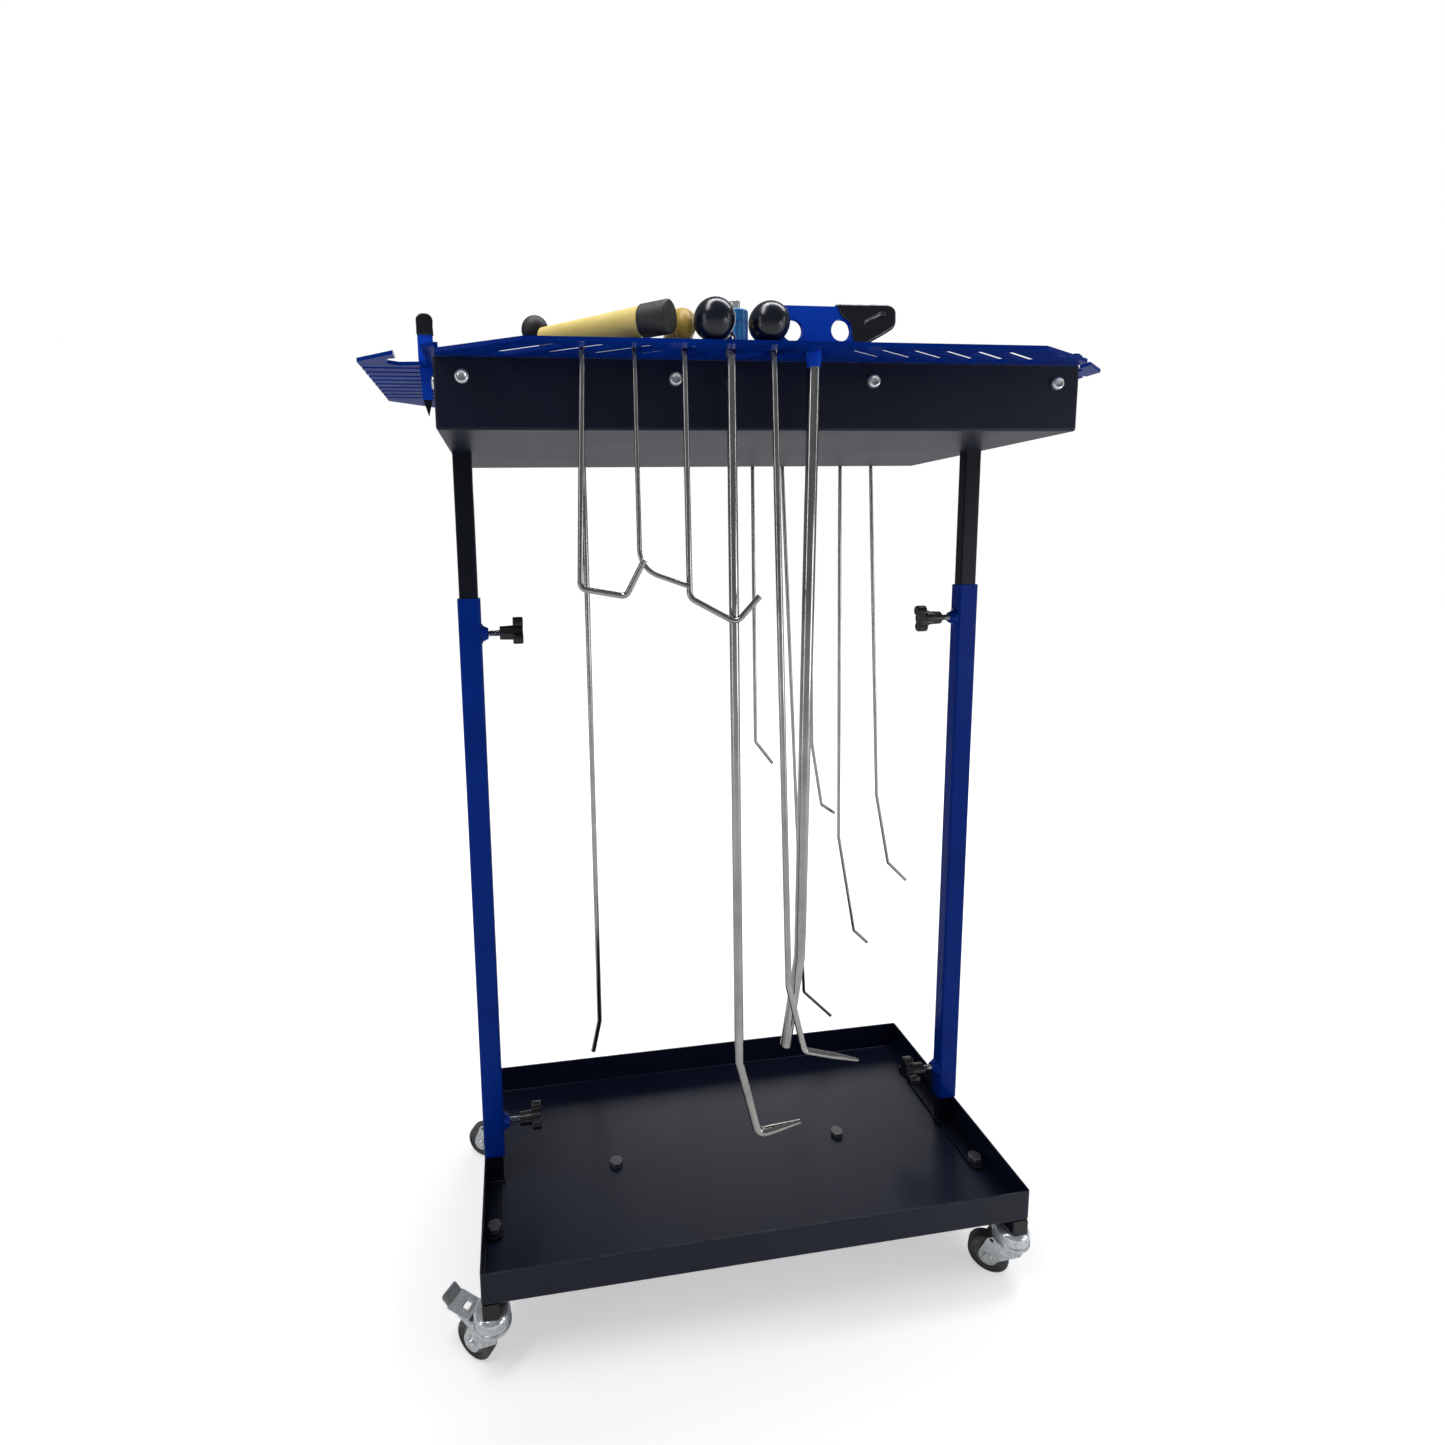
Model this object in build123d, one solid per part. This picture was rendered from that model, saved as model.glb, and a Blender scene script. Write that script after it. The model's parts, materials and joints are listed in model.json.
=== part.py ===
from build123d import *
import math
import os

os.makedirs("parts", exist_ok=True)

# Mobile two-tray stand for panel-repair rods. Millimetres, +Z up, floor at z = 0.
# +X is the long way of the trays, -Y is the front.

# trays
TRAY_W = 700.0
TRAY_D = 350.0
SHEET = 1.5
BEND_R = 3.0
LOWER_H = 42.0
UPPER_H = 70.0

# rolling base
WHEEL_R = 25.0
WHEEL_W = 18.0
TRAIL = 25.0
CASTER_H = 79.0
RAIL = 20.0
RAIL_WALL = 1.5
RAIL_X = 339.0
STEM_Y = 157.0
STEM_R = 5.0
FIT = 0.05
CASTER_TURN = {"fl": 143.0, "fr": 140.0, "bl": 152.0, "br": 148.0}
HUB_R = 20.5
RACE_R = 12.0
CROWN_Z = 57.0
DOME_R = 22.0
DOME_TOP = 78.0
CHEEK_IN = 10.4
CHEEK_T = 1.6
PEDAL_T = 1.6
PEDAL_Z = 58.0
PEDAL_PIN = (21.0, 52.0)
PIN_R = 2.5
CASTER_SIDE = {"fl": (-1, -1), "fr": (1, -1), "bl": (-1, 1), "br": (1, 1)}

# telescopic legs
LEG_X = 336.0
POST = 23.0
POST_D = 15.0
POST_WALL = 2.0
SLEEVE = 28.0
SLEEVE_D = 20.0
SLEEVE_GAP = 0.1
SLEEVE_BOTTOM = 145.0
SLEEVE_TOP = 915.0
POST_TOP = 414.0
TUBE_BOTTOM = 574.0
BASE_BAR = 4.0
BASE_BAR_W = 21.5
BASE_BAR_L = 190.0
BOLT_Y = 80.0
KNOB_DROP = 45.0
STUD_R = 4.0
STUD_GAP = 0.2

# heights that follow
LOWER_Z = CASTER_H + RAIL
LOWER_FLOOR = LOWER_Z + SHEET
UPPER_Z = 1093.0
UPPER_FLOOR = UPPER_Z + SHEET
RIM = UPPER_Z + UPPER_H

# slotted racks
RACK_T = 4.0
RACK_LEG = 30.0
LONG_REACH = 62.0
SLOT_RUN = 50.0
SLOT_RISE = 30.0
SLOT_INNER = 14.0
WIDE_SLOT = 15.2
WIDE_PITCH = 46.5
WIDE_FIRST = -284.5
WIDE_COUNT = 7
NARROW_SLOT = 10.0
NARROW_PITCH = 35.0
NARROW_FIRST = 107.0
NARROW_COUNT = 6
SCREW_X = (-322.5, -107.5, 107.5, 322.5)
SCREW_Y = (-145.0, 145.0)
SCREW_DROP = 19.0
SIDE_LIFT = 10.0
SIDE_REACH = 84.0
SIDE_HALF = 105.0
SIDE_ROOT = 172.0
COMB_SLOT = 7.0
COMB_PITCH = 20.0
COMB_COUNT = 9
COMB_ROOT = 4.0

# hanging tools
SEAT = RIM + RACK_T + FIT
KNOB_BALL_R = 20.0
GRIP_R = 15.5
GRIP_L = 100.0


def box_between(low, high):
    size = [high[i] - low[i] for i in range(3)]
    middle = [(high[i] + low[i]) / 2 for i in range(3)]
    return Pos(*middle) * Box(*size)


def disc(radius, height, x=0.0, y=0.0, z=0.0):
    return Pos(x, y, z + height / 2) * Cylinder(radius, height)


def prism(points, z, height):
    face = make_face(Polyline(*points, close=True))
    return Pos(0, 0, z) * extrude(face, height)


def mirror_x(shape):
    return mirror(shape, Plane.YZ)


def turned_half(shape):
    return Rot(0, 0, 180) * shape


def hexagon(across, height):
    outline = RegularPolygon(across / 2, 6, major_radius=False)
    return extrude(outline, height)


def save(name, shape):
    solids = list(shape) if isinstance(shape, (list, tuple)) else list(shape.solids())
    if len(solids) == 1:
        out = solids[0]
    else:
        flat = []
        for piece in solids:
            flat.extend(piece.solids())
        out = Compound(children=[Solid(s.wrapped) for s in flat])
    out.label = name
    export_step(out, os.path.join("parts", name + ".step"))
    print(name, len(out.solids()), round(out.volume / 1000, 1), "cm3")


# ---------------------------------------------------------------- trays

def folded_tray(z, height):
    outer = Pos(0, 0, z + height / 2) * Box(TRAY_W, TRAY_D, height)
    low = outer.faces().sort_by(Axis.Z)[0].edges()
    outer = fillet(low + outer.edges().filter_by(Axis.Z), BEND_R)
    inner = Pos(0, 0, z + SHEET + height / 2) * Box(TRAY_W - 2 * SHEET, TRAY_D - 2 * SHEET, height)
    low = inner.faces().sort_by(Axis.Z)[0].edges()
    inner = fillet(low + inner.edges().filter_by(Axis.Z), BEND_R - SHEET)
    return outer - inner


def lower_tray():
    tray = folded_tray(LOWER_Z, LOWER_H)
    for x, y in floor_bolt_places():
        tray -= disc(STUD_R + 0.2, 10, x, y, LOWER_Z - 5)
    return tray


def upper_tray():
    tray = folded_tray(UPPER_Z, UPPER_H)
    hole = Cylinder(STUD_R + 0.2, 12)
    for x in SCREW_X:
        for side in (-1, 1):
            tray -= Pos(x, side * TRAY_D / 2, RIM - SCREW_DROP) * Rot(90, 0, 0) * hole
    for y in SCREW_Y:
        for side in (-1, 1):
            tray -= Pos(side * TRAY_W / 2, y, RIM - SCREW_DROP) * Rot(0, 90, 0) * hole
    for side in (-1, 1):
        tray -= disc(STUD_R + 0.2, 10, side * LEG_X, 0, UPPER_Z - 5)
    return tray


# ---------------------------------------------------------------- rolling base

def square_tube(length, size, wall):
    return Box(size, length, size) - Box(size - 2 * wall, length + 2, size - 2 * wall)


def side_rail(side):
    rail = Pos(side * RAIL_X, 0, CASTER_H + RAIL / 2) * square_tube(TRAY_D - 4, RAIL, RAIL_WALL)
    for y in (-STEM_Y, STEM_Y):
        rail -= disc(STEM_R + 0.3, 4, side * RAIL_X, y, CASTER_H - 1)
    for y in (-BOLT_Y, BOLT_Y):
        rail -= disc(STUD_R + 0.2, RAIL + 4, side * LEG_X, y, CASTER_H - 2)
    return rail


def centre_rail():
    length = 2 * RAIL_X - RAIL
    rail = Rot(0, 0, 90) * square_tube(length, RAIL, RAIL_WALL)
    rail = Pos(0, 0, CASTER_H + RAIL / 2) * rail
    for x in (-166.0, 166.0):
        rail -= disc(STUD_R + 0.2, RAIL + 4, x, 0, CASTER_H - 2)
    return rail


def rail_plugs():
    plugs = []
    for side in (-1, 1):
        for end in (-1, 1):
            y = end * (TRAY_D / 2 - 2)
            cap = Pos(side * RAIL_X, y + end * 1.0, CASTER_H + RAIL / 2) * Box(RAIL, 2, RAIL)
            cap = fillet(cap.edges().filter_by(Axis.Y), 1.5)
            tongue = Box(RAIL - 2 * RAIL_WALL, 8, RAIL - 2 * RAIL_WALL)
            plugs.append(cap + Pos(side * RAIL_X, y - end * 4, CASTER_H + RAIL / 2) * tongue)
    return plugs


def leg_base(side):
    bar = Box(BASE_BAR_W, BASE_BAR_L, BASE_BAR)
    bar = fillet(bar.edges().filter_by(Axis.Z), BASE_BAR_W / 2 - 0.5)
    bar = Pos(side * LEG_X, 0, LOWER_FLOOR + BASE_BAR / 2) * bar
    for y in (-BOLT_Y, BOLT_Y):
        bar -= disc(STUD_R + 0.2, 10, side * LEG_X, y, LOWER_FLOOR - 3)
    length = POST_TOP - LOWER_FLOOR - BASE_BAR
    post = rounded_tube(POST, POST_D, POST_WALL, length, 2.0)
    return bar + Pos(side * LEG_X, 0, LOWER_FLOOR + BASE_BAR) * post


def rounded_tube(width, depth, wall, length, radius):
    outer = extrude(RectangleRounded(width, depth, radius), length)
    inside = RectangleRounded(width - 2 * wall, depth - 2 * wall, max(radius - wall, 0.6))
    return outer - extrude(inside, length)


def hex_bolt(length):
    head = hexagon(16, 6.0)
    crown = Pos(0, 0, 3.0) * Cylinder(9.0, 6.0)
    crown = chamfer(crown.edges().sort_by(Axis.Z)[-1], 1.0)
    return (head & crown) + disc(STUD_R, length, 0, 0, -length)


def hex_nut(thick):
    return hexagon(13, thick) - disc(STUD_R + 0.02, thick + 2, 0, 0, -1)


def floor_bolt_places():
    places = [(x, 0.0) for x in (-166.0, 166.0)]
    for side in (-1, 1):
        for y in (-BOLT_Y, BOLT_Y):
            places.append((side * LEG_X, y))
    return places


def floor_bolts():
    pieces = []
    for x, y in floor_bolt_places():
        seat = LOWER_FLOOR + (BASE_BAR if y else 0.0)
        pieces.append(Pos(x, y, seat) * hex_bolt(seat - CASTER_H + 7.5))
        pieces.append(Pos(x, y, CASTER_H - 6.5) * hex_nut(6.5))
    return pieces


# ---------------------------------------------------------------- casters

def caster_place(key):
    side, end = CASTER_SIDE[key]
    return Pos(side * RAIL_X, end * STEM_Y, 0) * Rot(0, 0, CASTER_TURN[key])


def stem():
    shank = disc(STEM_R, CASTER_H - 50, 0, 0, 64)
    race = disc(RACE_R, 2.0, 0, 0, CASTER_H - 2.0)
    foot = disc(8, 2.0, 0, 0, 62.5)
    return shank + race + foot


def caster_stems():
    return [caster_place(key) * stem() for key in CASTER_SIDE]


def fork_cheek():
    outline = [(-18, CROWN_Z + 2), (16, CROWN_Z + 2), (26, 53), (36, 28), (16, 21), (-13, 45)]
    web = make_face(Polyline(*outline, close=True))
    web += Pos(TRAIL, WHEEL_R) * Circle(11)
    web -= Pos(*PEDAL_PIN) * Circle(PIN_R + FIT)
    return extrude(web, CHEEK_T)


def swivel_dome():
    dome = disc(DOME_R, DOME_TOP - CROWN_Z, 0, 0, CROWN_Z)
    dome = fillet(dome.edges().sort_by(Axis.Z)[-1], 8)
    dome += disc(DOME_R + 0.9, 3.2, 0, 0, CROWN_Z)
    dome -= Pos(0, 0, CROWN_Z + 5.2) * Torus(DOME_R + 0.3, 0.8)
    dome -= disc(17, 9.0, 0, 0, CROWN_Z + 2.4)
    dome -= disc(STEM_R + 0.4, 20, 0, 0, 62)
    dome -= disc(RACE_R + 0.3, 10, 0, 0, DOME_TOP - 2.4)
    return dome


def fork():
    cheek = Rot(90, 0, 0) * fork_cheek()
    pair = Pos(0, CHEEK_IN + CHEEK_T, 0) * cheek + Pos(0, -CHEEK_IN, 0) * cheek
    body = swivel_dome() + pair
    body -= Pos(TRAIL, 0, WHEEL_R) * Rot(90, 0, 0) * Cylinder(4.0, 40)
    return body


def axle():
    half = CHEEK_IN + CHEEK_T
    shaft = Cylinder(4.0, 2 * half + 0.4)
    head = Pos(0, 0, half + 1.4) * Cylinder(6.0, 2.8)
    head = fillet(head.edges().group_by(Axis.Z)[-1], 1.4)
    nut = Pos(0, 0, -half - 4.4) * extrude(RegularPolygon(6.5, 6, major_radius=False), 4.4)
    end = Pos(0, 0, -half - 5.2) * Cylinder(3.8, 2.0)
    return Pos(TRAIL, 0, WHEEL_R) * Rot(-90, 0, 0) * (shaft + head + nut + end)


def hub():
    core = Cylinder(HUB_R, WHEEL_W - 3)
    for face in (-1, 1):
        core -= Pos(0, 0, face * (WHEEL_W / 2 - 1.5)) * (Cylinder(HUB_R - 2.2, 3) - Cylinder(8, 3))
    core += Cylinder(7, WHEEL_W + 2)
    core -= Cylinder(4.0 + FIT, WHEEL_W + 10)
    return Pos(TRAIL, 0, WHEEL_R) * Rot(90, 0, 0) * core


def tyre():
    ring = Cylinder(WHEEL_R, WHEEL_W)
    ring = fillet(ring.edges().filter_by(GeomType.CIRCLE), 3.5)
    ring -= Cylinder(HUB_R, WHEEL_W + 2)
    return Pos(TRAIL, 0, WHEEL_R) * Rot(90, 0, 0) * ring


def pedal_wing():
    web = make_face(Polyline((17.5, 49), (17.5, 54.5), (26, PEDAL_Z), (48, PEDAL_Z), (27, 48.5), close=True))
    web += Pos(*PEDAL_PIN) * Circle(4.2)
    return Rot(90, 0, 0) * extrude(web, PEDAL_T)


def brake_pedal():
    outer = CHEEK_IN + CHEEK_T + 0.2 + PEDAL_T
    middle = PEDAL_Z - PEDAL_T / 2
    plate = Pos(42, 0, middle) * Box(34, 2 * outer, PEDAL_T)
    frame = Pos(39, 0, PEDAL_Z + 0.5) * Box(15, 16, 1.0)
    lever = plate + frame + Pos(27, 0, PEDAL_Z + 0.8) * Box(4, 2 * outer, 1.6)
    lever -= Pos(39, 0, middle) * Box(9, 10, 8)
    fold = Pos(58.5, 0, middle) * Rot(0, -34, 0)
    tab = Box(15, 2 * outer - 3, PEDAL_T)
    tab = fillet(tab.edges().filter_by(Axis.Z), 3)
    lever += fold * Pos(6, 0, 0) * tab
    for rib in range(5):
        lever += fold * Pos(1.6 + rib * 2.4, 0, 1.0) * Box(1.2, 2 * outer - 5, 0.9)
    for side in (-1, 1):
        wing_y = side * (outer - PEDAL_T / 2) + PEDAL_T / 2
        lever += Pos(0, wing_y, 0) * pedal_wing()
        pin = Rot(90, 0, 0) * Cylinder(PIN_R, outer - CHEEK_IN + 0.6)
        lever += Pos(PEDAL_PIN[0], side * (outer + CHEEK_IN + 1.0) / 2, PEDAL_PIN[1]) * pin
    return lever


# ---------------------------------------------------------------- legs

def boss(z):
    cone = Rot(0, 90, 0) * Cone(7.0, 11.5, 8.5)
    cone = Pos(LEG_X - SLEEVE / 2 - 4.25 + 0.01, 0, z) * cone
    return cone & (Pos(LEG_X - SLEEVE / 2 - 4, 0, z) * Box(12, SLEEVE_D - 1, 30))


def leg_sleeve(side):
    wall = (SLEEVE - POST) / 2 - SLEEVE_GAP
    tube = rounded_tube(SLEEVE, SLEEVE_D, wall, SLEEVE_TOP - SLEEVE_BOTTOM, 3.0)
    tube = Pos(LEG_X, 0, SLEEVE_BOTTOM) * tube
    for z in knob_heights():
        tube += boss(z)
        tube -= Pos(LEG_X - 20, 0, z) * Rot(0, 90, 0) * Cylinder(STUD_R + FIT, 20)
    return tube if side > 0 else mirror_x(tube)


def knob_heights():
    return (SLEEVE_BOTTOM + KNOB_DROP, SLEEVE_TOP - KNOB_DROP)


def inner_tube(side):
    tube = rounded_tube(POST, POST_D, POST_WALL, UPPER_Z - TUBE_BOTTOM, 2.0)
    tube += Pos(0, 0, UPPER_Z - TUBE_BOTTOM - 4) * Box(POST - 2, POST_D - 2, 8)
    tube -= disc(STUD_R + 0.02, 20, 0, 0, UPPER_Z - TUBE_BOTTOM - 15)
    return Pos(side * LEG_X, 0, TUBE_BOTTOM) * tube


def lobed_head(turn):
    head = Cylinder(10.5, 12.2)
    lobe = Cylinder(7.2, 13.0)
    lobe = fillet(lobe.edges().filter_by(GeomType.CIRCLE), 1.8)
    for third in range(3):
        angle = math.radians(120 * third + turn)
        head += Pos(12.6 * math.cos(angle), 12.6 * math.sin(angle), 0) * lobe
    neck = Pos(0, 0, -14.5) * Cone(8.6, 9.4, 17.0)
    return head + neck


def clamp_knob(side, z, turn):
    head = Pos(-276.5, 0, z) * Rot(0, 90, 0) * lobed_head(turn)
    tip = -LEG_X + POST / 2 + STUD_GAP
    stud = Cylinder(STUD_R, -298.7 - tip)
    stud = Pos((tip - 298.7) / 2, 0, z) * Rot(0, 90, 0) * stud
    head -= stud
    if side > 0:
        return [mirror_x(head), mirror_x(stud)]
    return [head, stud]


# ---------------------------------------------------------------- racks

def slanted_slot(x, width, way):
    run = math.hypot(SLOT_RUN, SLOT_RISE)
    angle = math.degrees(math.atan2(-SLOT_RISE, way * SLOT_RUN))
    cutter = extrude(SlotCenterToCenter(run, width), 20)
    y = -TRAY_D / 2 - SLOT_INNER - SLOT_RISE / 2
    return Pos(x + way * SLOT_RUN / 2, y, RIM - 8) * Rot(0, 0, angle) * cutter


def long_rack():
    root = TRAY_D / 2
    inner = root - SHEET - RACK_T
    edge = root + LONG_REACH
    outline = [(-346, -inner), (-346, -root - 15), (-262, -edge)]
    outline += [(-x, y) for x, y in reversed(outline)]
    rack = prism(outline, RIM, RACK_T)
    leg_z = RIM - RACK_LEG
    rack += box_between((-338, -root + SHEET, leg_z), (338, -inner, RIM + 0.5))
    for index in range(WIDE_COUNT):
        rack -= slanted_slot(WIDE_FIRST + index * WIDE_PITCH, WIDE_SLOT, 1)
    for index in range(NARROW_COUNT):
        rack -= slanted_slot(NARROW_FIRST + index * NARROW_PITCH, NARROW_SLOT, -1)
    for x in SCREW_X:
        rack -= Pos(x, -root, RIM - SCREW_DROP) * Rot(90, 0, 0) * Cylinder(STUD_R + 0.2, 20)
    return rack


def side_rack():
    root = TRAY_W / 2
    inner = root - SHEET - RACK_T
    tip = root + SIDE_REACH
    base = RIM + SIDE_LIFT
    outline = [(-inner, -SIDE_ROOT), (-root, -SIDE_ROOT), (-tip, -SIDE_HALF)]
    outline += [(x, -y) for x, y in reversed(outline)]
    rack = prism(outline, base, RACK_T)
    leg_z = RIM - RACK_LEG
    rack += box_between((-root + SHEET, -165, leg_z), (-inner, 165, base + 0.5))
    for index in range(COMB_COUNT):
        y = (index - (COMB_COUNT - 1) / 2) * COMB_PITCH
        slot_end = root + COMB_ROOT
        rack -= box_between((-tip - 5, y - COMB_SLOT / 2, base - 5), (-slot_end, y + COMB_SLOT / 2, base + 9))
        rack -= disc(COMB_SLOT / 2, 14, -slot_end, y, base - 5)
    notch = [(-392, -190), (-392, -122), (-401, -118), (-405, -108), (-402, -97), (-392, -91)]
    notch += [(-366, -94), (-362, -98), (-362, -190)]
    rack -= prism(notch, base - 5, 14)
    for y in SCREW_Y:
        rack -= Pos(-root, y, RIM - SCREW_DROP) * Rot(0, 90, 0) * Cylinder(STUD_R + 0.2, 20)
    return rack


def button_screw():
    head = Pos(0, 0, 2.2) * Cylinder(7.0, 4.4)
    head = fillet(head.edges().sort_by(Axis.Z)[-1], 2.6)
    head -= Pos(0, 0, 0.8) * hexagon(5.6, 4)
    head -= Pos(0, 0, 3.9) * Cone(3.0, 4.6, 1.1)
    return head + disc(STUD_R, 14, 0, 0, -14)


def rack_fastening():
    nut = Pos(0, 0, -SHEET - RACK_T - 6.5) * hex_nut(6.5)
    return [button_screw(), nut]


def rack_fasteners():
    pieces = []
    z = RIM - SCREW_DROP
    for piece in rack_fastening():
        for x in SCREW_X:
            pieces.append(Pos(x, -TRAY_D / 2, z) * Rot(90, 0, 0) * piece)
            pieces.append(Pos(x, TRAY_D / 2, z) * Rot(-90, 0, 0) * piece)
        for y in SCREW_Y:
            pieces.append(Pos(-TRAY_W / 2, y, z) * Rot(0, -90, 0) * piece)
            pieces.append(Pos(TRAY_W / 2, y, z) * Rot(0, 90, 0) * piece)
    for side in (-1, 1):
        pieces.append(Pos(side * LEG_X, 0, UPPER_FLOOR) * hex_bolt(12))
    return pieces


# ---------------------------------------------------------------- rods and tools

def from_rim(points):
    return [(x, y, RIM + z) for x, y, z in points]


def bent_rod(points, radius, bend, tip=0.0, tip_radius=2.0):
    pts = [Vector(*p) for p in from_rim(points)]
    last = pts[-1]
    way = (pts[-1] - pts[-2]).normalized()
    if tip:
        pts[-1] = last - way * tip
    path = FilletPolyline(*pts, radius=bend) if len(pts) > 2 else Line(*pts)
    start = (pts[1] - pts[0]).normalized()
    rod = sweep(Plane(origin=pts[0], z_dir=start) * Circle(radius), path=path)
    if tip:
        cone = Plane(origin=pts[-1], z_dir=way) * Pos(0, 0, tip / 2) * Cone(radius, tip_radius, tip)
        rod = rod + cone
    return rod


def ball(x, y, z, radius):
    return Pos(x, y, RIM + z) * Sphere(radius)


def bar_between(start, end, radius, end_radius=None):
    a, b = [Vector(*p) for p in from_rim([start, end])]
    length = (b - a).length
    place = Plane(origin=a, z_dir=(b - a).normalized())
    if end_radius is None or end_radius == radius:
        return place * Pos(0, 0, length / 2) * Cylinder(radius, length)
    return place * Pos(0, 0, length / 2) * Cone(radius, end_radius, length)


def collar(x, y, radius, height=4.0):
    return disc(radius, height, x, y, SEAT)


def rod_1():
    r = 3.0
    z = RACK_T + FIT + r
    points = [(-262, -166, z), (-206, -209, z), (-214, -209, -229), (-170, -222, -237)]
    points += [(-152, -228, -201)]
    return bent_rod(points, r, 7)


def rod_3():
    r = 2.4
    points = [(-156, -210, 24.5), (-153.6, -210.5, -211), (-106, -224, -229)]
    shaft = bent_rod(points, r, 28)
    spine = bent_rod([(-138, -224, 24.5), (-250, -138.5, 24.5), (-247.6, -133.4, 38)], r, 5)
    return shaft + spine + collar(-156, -210, 9)


def rod_4():
    r = 3.0
    points = [(-93, -112, 31), (-107, -211.5, 31), (-103, -211.5, -241)]
    points += [(-58, -225, -267), (-36, -232, -240)]
    return bent_rod(points, r, 10) + collar(-106.7, -211.5, 9)


def rod_5():
    points = [(-81, -228, 24.2), (-60, -212, 13), (-50.4, -212, -764), (-28, -213, -853)]
    points += [(21, -215, -843)]
    return bent_rod(points, 5.0, 9, 34, 2.2)


def rod_7():
    points = [(-24.5, -221.5, 24.2), (-16, -210.8, 12), (4.6, -216, -674), (23.6, -217, -754)]
    points += [(87, -219, -772)]
    return bent_rod(points, 3.5, 7, 30, 1.6)


TUBE_TOP = Vector(27.1, -208.4, -2)
TUBE_END = Vector(20.5, -208.4, -622)
SOCKET_KNEE = Vector(20.2, -208.2, -645)
SOCKET_MOUTH = Vector(12, -190, -764)
SOCKET_R = 4.0
SOCKET_DEPTH = 20.0


def bar_tube(radius):
    return bar_between(tuple(TUBE_TOP), tuple(TUBE_END), radius)


def rod_9():
    way = (SOCKET_MOUTH - SOCKET_KNEE).normalized()
    path = [tuple(TUBE_END), tuple(SOCKET_KNEE), tuple(SOCKET_MOUTH)]
    socket = bent_rod(path, 6.1, 20)
    bore = bar_between(tuple(SOCKET_MOUTH - way * SOCKET_DEPTH), tuple(SOCKET_MOUTH + way), SOCKET_R)
    screw_z = RIM - 612
    grub = Pos(20.7, -213.0, screw_z) * Rot(90, 0, 0) * Cylinder(2.4, 4.0)
    tube = bar_tube(6.35)
    tube -= Pos(20.7, -215.2, screw_z) * Rot(90, 0, 0) * Cylinder(2.4, 8.0)
    return [tube, socket - bore, grub]


def rod_9_handle():
    base = RACK_T + FIT
    outline = [(-12.5, base), (72, base), (84, 14), (105, 27), (105, 46), (-12.5, 46)]
    face = make_face(Polyline(*outline, close=True))
    plate = Plane.XZ * extrude(face, 2.5, both=True)
    plate = Pos(0, -203, RIM) * plate
    plate = fillet(plate.edges().filter_by(Axis.Y), 2.9)
    for x, z in ((5.5, 22.5), (56.5, 23.5)):
        plate -= Pos(x, -203, RIM + z) * Rot(90, 0, 0) * Cylinder(10.5, 20)
    fitting = bar_between((27, -208.4, 9.5), (27, -208.4, -3), 7.3)
    fitting += bar_between((27, -208.4, -3), (27, -208.4, -14), 7.3, 6.8)
    fitting -= bar_tube(6.36)
    return plate + fitting


def dip_face():
    outline = [(50, 48), (114, 49), (115, 27), (86, 11), (72.5, 7)]
    face = make_face(Polyline(*outline, close=True))
    right = face.vertices().sort_by(Axis.X)[-2:]
    return fillet(right, 9.5)


def rod_9_dip():
    coat = Pos(0, -203, RIM) * (Plane.XZ * extrude(dip_face(), 5.0, both=True))
    sides = coat.faces().filter_by(Axis.Y).edges()
    coat = fillet(sides, 2.4)
    for side in (-1, 1):
        dent = extrude(SlotCenterToCenter(16, 9), 2.4, both=True)
        dent = Plane.XZ * (Rot(0, 0, 25) * dent)
        coat -= Pos(92, -203 + side * 5.6, RIM + 33) * dent
    coat -= Pos(56.5, -203, RIM + 23.5) * Rot(90, 0, 0) * Cylinder(10.8, 20)
    return coat - rod_9_handle()


def back_rod(top, points, radius, bend):
    x, y = top
    z = RACK_T + FIT + radius
    full = [(x, y - 75, z), (x, y, z)] + points
    return bent_rod(full, radius, bend)


def rod_2():
    return back_rod((-169, 194.2), [(-165.7, 194.2, -970), (-177.5, 194.2, -1024)], 4.0, 6.0)


def rod_6():
    return back_rod((93.5, 192), [(101.5, 192, -507), (132, 197, -546)], 2.7, 8)


def rod_8():
    return back_rod((139, 192.5), [(190.5, 192.5, -957), (243, 199, -1012)], 2.7, 8)


def rod_10():
    points = [(199, 193.5, -517), (218, 195, -623), (244, 203, -642)]
    return back_rod((184, 193.5), points, 2.7, 7)


def rod_11():
    points = [(247.4, 190.2, -680), (278.5, 190.2, -851), (304.3, 193, -877)]
    return back_rod((236, 190.2), points, 2.7, 7)


def rod_12():
    points = [(313.2, 190, -610), (337.5, 190, -733), (373, 194, -769)]
    return back_rod((285, 190), points, 2.7, 7)


def yellow_grip():
    near, far = (-144, -219.4, 24.5), (-239, -146.6, 24.5)
    grip = bar_between(near, far, 14.0, 12.0)
    return grip - rod_3()


def yellow_grip_ends():
    cap = bar_between((-124.6, -234.2, 24.5), (-148.5, -215.9, 24.5), 15.4)
    ends = cap.edges().filter_by(GeomType.CIRCLE)
    cap = fillet(ends, 2.0)
    cap -= yellow_grip()
    cap -= rod_3()
    knob = ball(-247.6, -133, 38, 14.0) - yellow_grip() - rod_3()
    return [cap, knob]


def mustard_grip():
    near, far = (-104.26, -192, 31), (-90.75, -96, 31)
    grip = bar_between(near, far, 15.2)
    grip = fillet(grip.edges().filter_by(GeomType.CIRCLE), 3.5)
    return grip - rod_4()


def hook_tool():
    outline = [(-373, 50), (-356.5, 50), (-356.5, 20), (-359, 0), (-360, -22), (-365, -41)]
    outline += [(-370.5, -22), (-371.5, 0), (-373, 20)]
    face = make_face(Polyline(*outline, close=True))
    blade = Pos(0, -80, RIM) * (Plane.XZ * extrude(face, 2.6, both=True))
    pin_z = RIM + SIDE_LIFT + RACK_T + FIT + 4
    pin = Pos(-365, -80, pin_z) * Rot(90, 0, 0) * Cylinder(4, 22)
    return blade + pin


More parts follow.
